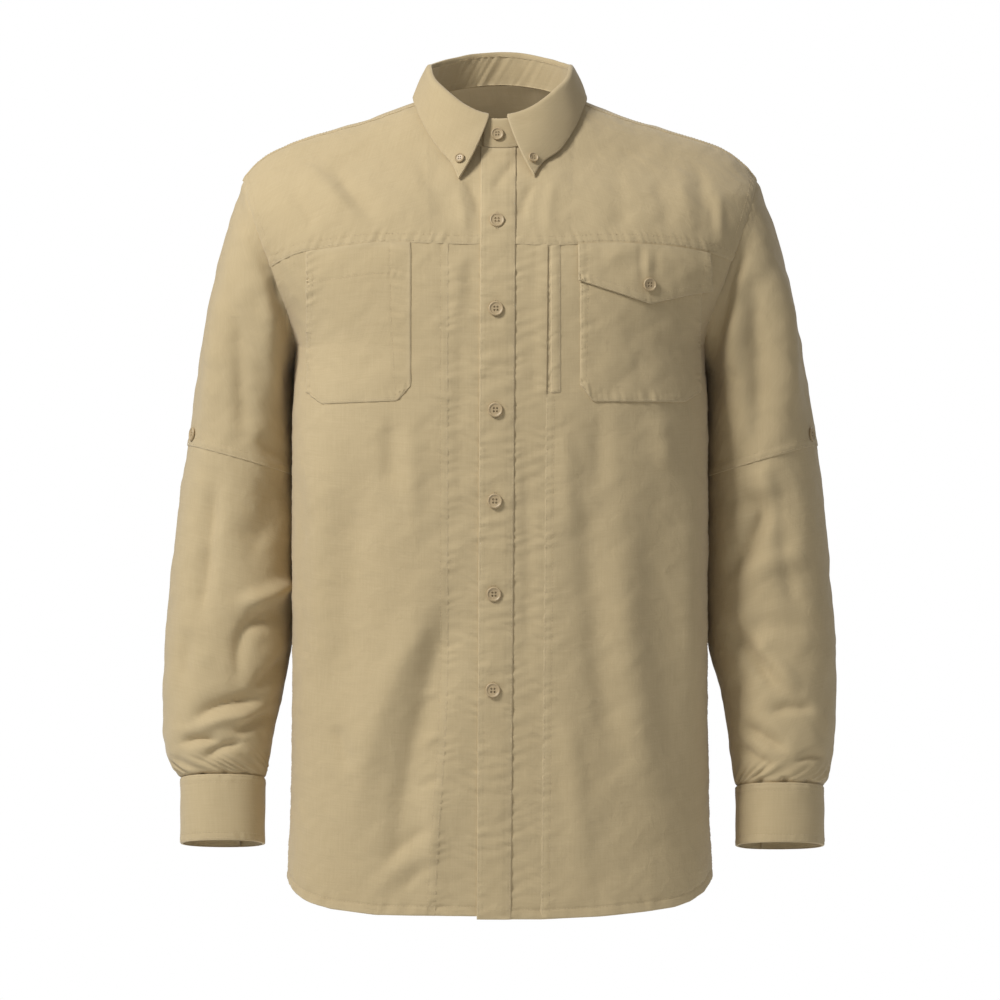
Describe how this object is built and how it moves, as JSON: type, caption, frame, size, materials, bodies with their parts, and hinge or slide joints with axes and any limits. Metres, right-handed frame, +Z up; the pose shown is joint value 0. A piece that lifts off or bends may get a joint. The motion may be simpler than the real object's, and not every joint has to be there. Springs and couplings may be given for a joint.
{
  "type": "shirt",
  "caption": "Khaki long-sleeved field shirt, filled out and hollow, with a buttoned-down collar, chest pockets, a flap pocket and buttoned cuffs.",
  "frame": {"origin": "in the middle of the neck opening, level with the shoulders' inner ends", "axes": "+Z up along the body, +X to the wearer's left, front towards -Y"},
  "size_m": [0.647, 0.2625, 0.838],
  "materials": {
    "cloth": "matt plain-weave khaki cotton",
    "firm_cloth": "matt khaki cotton, stiffened",
    "button": "satin tan resin"
  },
  "bodies": {
    "root": {"back": "cloth", "back_yoke": "cloth", "button_band": "cloth", "front_left_centre": "cloth", "front_left_side": "cloth", "front_right_centre": "cloth", "front_right_side": "cloth", "front_yoke_left": "cloth", "front_yoke_right": "cloth", "placket": "cloth", "pocket_flap": "cloth", "pocket_left": "cloth", "pocket_right": "cloth", "pocket_welt": "cloth", "sleeve_lower_left": "cloth", "sleeve_lower_right": "cloth", "sleeve_upper_left": "cloth", "sleeve_upper_right": "cloth", "collar_fall": "firm_cloth", "collar_stand": "firm_cloth", "cuff_left": "firm_cloth", "cuff_right": "firm_cloth", "button_collar_left": "button", "button_collar_right": "button", "button_cuff_left": "button", "button_cuff_right": "button", "button_flap": "button", "button_front_1": "button", "button_front_2": "button", "button_front_3": "button", "button_front_4": "button", "button_front_5": "button", "button_front_6": "button", "button_stand": "button", "button_tab_left": "button", "button_tab_right": "button"}
  },
  "joints": []
}
